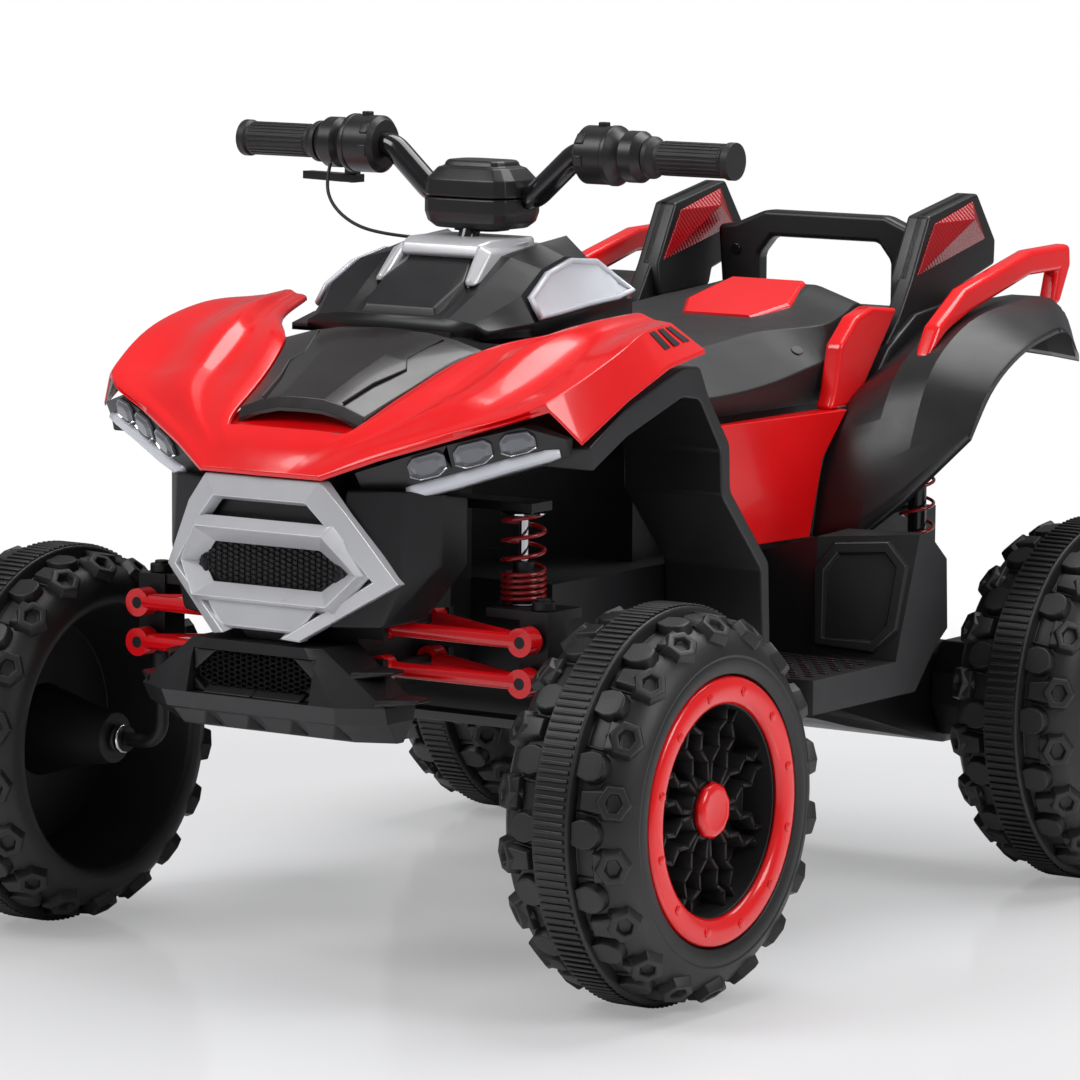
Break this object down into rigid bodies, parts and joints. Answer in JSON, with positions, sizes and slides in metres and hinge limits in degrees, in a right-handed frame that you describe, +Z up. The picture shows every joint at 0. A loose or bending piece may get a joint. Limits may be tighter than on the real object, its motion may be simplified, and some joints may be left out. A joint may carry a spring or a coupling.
{
  "type": "kids quad bike",
  "caption": "Child's battery quad bike with moulded red and black bodywork, sprung arms at the front, a sprung rear axle, steered front wheels, lamps, grab rails and footboards.",
  "frame": {"origin": "On the ground under the middle of the outer box.", "axes": "+Z up, front towards -Y, +X to the rider's left."},
  "size_m": [0.762, 1.049, 0.703],
  "materials": {
    "red_gloss": "bright red moulded plastic with a clear gloss",
    "black_satin": "satin black moulded plastic",
    "smoked_gloss": "smoked dark grey gloss plastic",
    "silver_paint": "silver painted plastic",
    "lamp_clear": "clear over white lamp plastic",
    "lamp_red": "ribbed clear red plastic",
    "black_steel": "gloss black painted steel",
    "red_steel": "gloss red painted steel",
    "bright_steel": "bright plated steel",
    "grip_rubber": "soft black rubber",
    "battery_case": "dark grey battery case"
  },
  "bodies": {
    "chassis": {"backrest_handle": "black_satin", "battery": "battery_case", "body_screws": "bright_steel", "chassis_tub": "black_satin", "console_shroud": "black_satin", "footboards": "black_satin", "front_bumper": "black_satin", "front_frame": "black_steel", "front_liners": "black_satin", "front_spring_left": "red_steel", "front_spring_right": "red_steel", "grille_frame": "silver_paint", "grille_meshes": "black_satin", "headlamp_lenses": "lamp_clear", "hood": "red_gloss", "hood_panel": "smoked_gloss", "light_bars": "lamp_clear", "nose_shell": "black_satin", "position_lamps": "lamp_clear", "rear_body": "black_satin", "rear_rails": "red_gloss", "rear_shocks": "black_steel", "rear_springs": "red_steel", "seat": "black_satin", "seat_pad": "red_gloss", "seat_surrounds": "red_gloss", "shock_rods": "bright_steel", "side_panels": "red_gloss", "stem_trim": "silver_paint", "tail_lamp_lenses": "lamp_red", "throttle_cable": "grip_rubber"},
    "steering": {"steering_column": "black_steel", "handlebar": "black_steel", "cap_lower": "black_satin", "cap_upper": "black_satin", "grips": "grip_rubber", "switch_pods": "black_satin"},
    "throttle": {"throttle_lever": "black_satin"},
    "horn": {"horn_button": "black_satin"},
    "music": {"music_button": "black_satin"},
    "tie": {"tie_rod": "black_steel"},
    "swing": {"swing_arm": "black_satin", "rear_axle": "black_steel", "gear_motors": "black_satin"},
    "lower_arm_left": {"lower_arm_left": "red_steel"},
    "upper_arm_left": {"upper_arm_left": "red_steel"},
    "upright_left": {"upright_left": "black_steel"},
    "knuckle_left": {"knuckle_left": "black_steel"},
    "wheel_front_left": {"tyre_front_left": "black_satin", "wheel_trim_front_left": "red_gloss"},
    "wheel_rear_left": {"tyre_rear_left": "black_satin", "wheel_trim_rear_left": "red_gloss"},
    "lower_arm_right": {"lower_arm_right": "red_steel"},
    "upper_arm_right": {"upper_arm_right": "red_steel"},
    "upright_right": {"upright_right": "black_steel"},
    "knuckle_right": {"knuckle_right": "black_steel"},
    "wheel_front_right": {"tyre_front_right": "black_satin", "wheel_trim_front_right": "red_gloss"},
    "wheel_rear_right": {"tyre_rear_right": "black_satin", "wheel_trim_rear_right": "red_gloss"}
  },
  "joints": [
    {"name": "steer", "type": "hinge", "parent": "chassis", "child": "steering", "pos_m": [0, -0.3595, 0.222], "axis": [0, 0.414, 0.9103], "range_deg": [-22, 22], "deforming": ["throttle_cable"]},
    {"name": "tie_slide", "type": "slide", "parent": "chassis", "child": "tie", "axis": [1, 0, 0], "range_m": [-0.0185, 0.0185]},
    {"name": "swing_pivot", "type": "hinge", "parent": "chassis", "child": "swing", "pos_m": [0, 0.1215, 0.18], "axis": [1, 0, 0], "range_deg": [-2, 2], "stiffness_Nm_per_rad": 1500, "springref_deg": -0.78, "deforming": ["rear_springs"]},
    {"name": "throttle_pivot", "type": "hinge", "parent": "steering", "child": "throttle", "pos_m": [-0.15, -0.1485, 0.642], "axis": [0, 0, 1], "range_deg": [0, 22], "stiffness_Nm_per_rad": 0.05, "springref_deg": -5.73},
    {"name": "horn_press", "type": "slide", "parent": "steering", "child": "horn", "axis": [0, 0, -1], "range_m": [0, 0.002], "stiffness_N_per_m": 500, "springref_m": -0.001},
    {"name": "music_press", "type": "slide", "parent": "steering", "child": "music", "axis": [0, 0, -1], "range_m": [0, 0.002], "stiffness_N_per_m": 500, "springref_m": -0.001},
    {"name": "lower_arm_pivot_left", "type": "hinge", "parent": "chassis", "child": "lower_arm_left", "pos_m": [0.08, -0.3595, 0.263], "axis": [0, 1, 0], "range_deg": [-4, 4], "stiffness_Nm_per_rad": 200, "springref_deg": 1.43, "deforming": ["front_spring_left"]},
    {"name": "upper_arm_pivot_left", "type": "hinge", "parent": "chassis", "child": "upper_arm_left", "pos_m": [0.08, -0.3595, 0.297], "axis": [0, 1, 0], "range_deg": [-4.2, 4.2]},
    {"name": "upright_pivot_left", "type": "hinge", "parent": "lower_arm_left", "child": "upright_left", "pos_m": [0.197, -0.3595, 0.257], "axis": [0, 1, 0], "range_deg": [-4.2, 4.2]},
    {"name": "kingpin_left", "type": "hinge", "parent": "upright_left", "child": "knuckle_left", "pos_m": [0.197, -0.3595, 0.28], "axis": [0, 0, 1], "range_deg": [-22.5, 22.5]},
    {"name": "wheel_spin_front_left", "type": "hinge", "parent": "knuckle_left", "child": "wheel_front_left", "pos_m": [0.313, -0.3595, 0.165], "axis": [1, 0, 0], "continuous": true},
    {"name": "wheel_spin_rear_left", "type": "hinge", "parent": "swing", "child": "wheel_rear_left", "pos_m": [0.313, 0.3595, 0.165], "axis": [1, 0, 0], "continuous": true},
    {"name": "lower_arm_pivot_right", "type": "hinge", "parent": "chassis", "child": "lower_arm_right", "pos_m": [-0.08, -0.3595, 0.263], "axis": [0, 1, 0], "range_deg": [-4, 4], "stiffness_Nm_per_rad": 200, "springref_deg": -1.43, "deforming": ["front_spring_right"]},
    {"name": "upper_arm_pivot_right", "type": "hinge", "parent": "chassis", "child": "upper_arm_right", "pos_m": [-0.08, -0.3595, 0.297], "axis": [0, 1, 0], "range_deg": [-4.2, 4.2]},
    {"name": "upright_pivot_right", "type": "hinge", "parent": "lower_arm_right", "child": "upright_right", "pos_m": [-0.197, -0.3595, 0.257], "axis": [0, 1, 0], "range_deg": [-4.2, 4.2]},
    {"name": "kingpin_right", "type": "hinge", "parent": "upright_right", "child": "knuckle_right", "pos_m": [-0.197, -0.3595, 0.28], "axis": [0, 0, 1], "range_deg": [-22.5, 22.5]},
    {"name": "wheel_spin_front_right", "type": "hinge", "parent": "knuckle_right", "child": "wheel_front_right", "pos_m": [-0.313, -0.3595, 0.165], "axis": [1, 0, 0], "continuous": true},
    {"name": "wheel_spin_rear_right", "type": "hinge", "parent": "swing", "child": "wheel_rear_right", "pos_m": [-0.313, 0.3595, 0.165], "axis": [1, 0, 0], "continuous": true}
  ],
  "couplings": [
    {"joint": "tie_slide", "follows": "steer", "m_per_rad": -0.046},
    {"joint": "upper_arm_pivot_left", "follows": "lower_arm_pivot_left", "ratio": 1},
    {"joint": "upright_pivot_left", "follows": "lower_arm_pivot_left", "ratio": -1},
    {"joint": "kingpin_left", "follows": "steer", "ratio": 1},
    {"joint": "upper_arm_pivot_right", "follows": "lower_arm_pivot_right", "ratio": 1},
    {"joint": "upright_pivot_right", "follows": "lower_arm_pivot_right", "ratio": -1},
    {"joint": "kingpin_right", "follows": "steer", "ratio": 1}
  ]
}
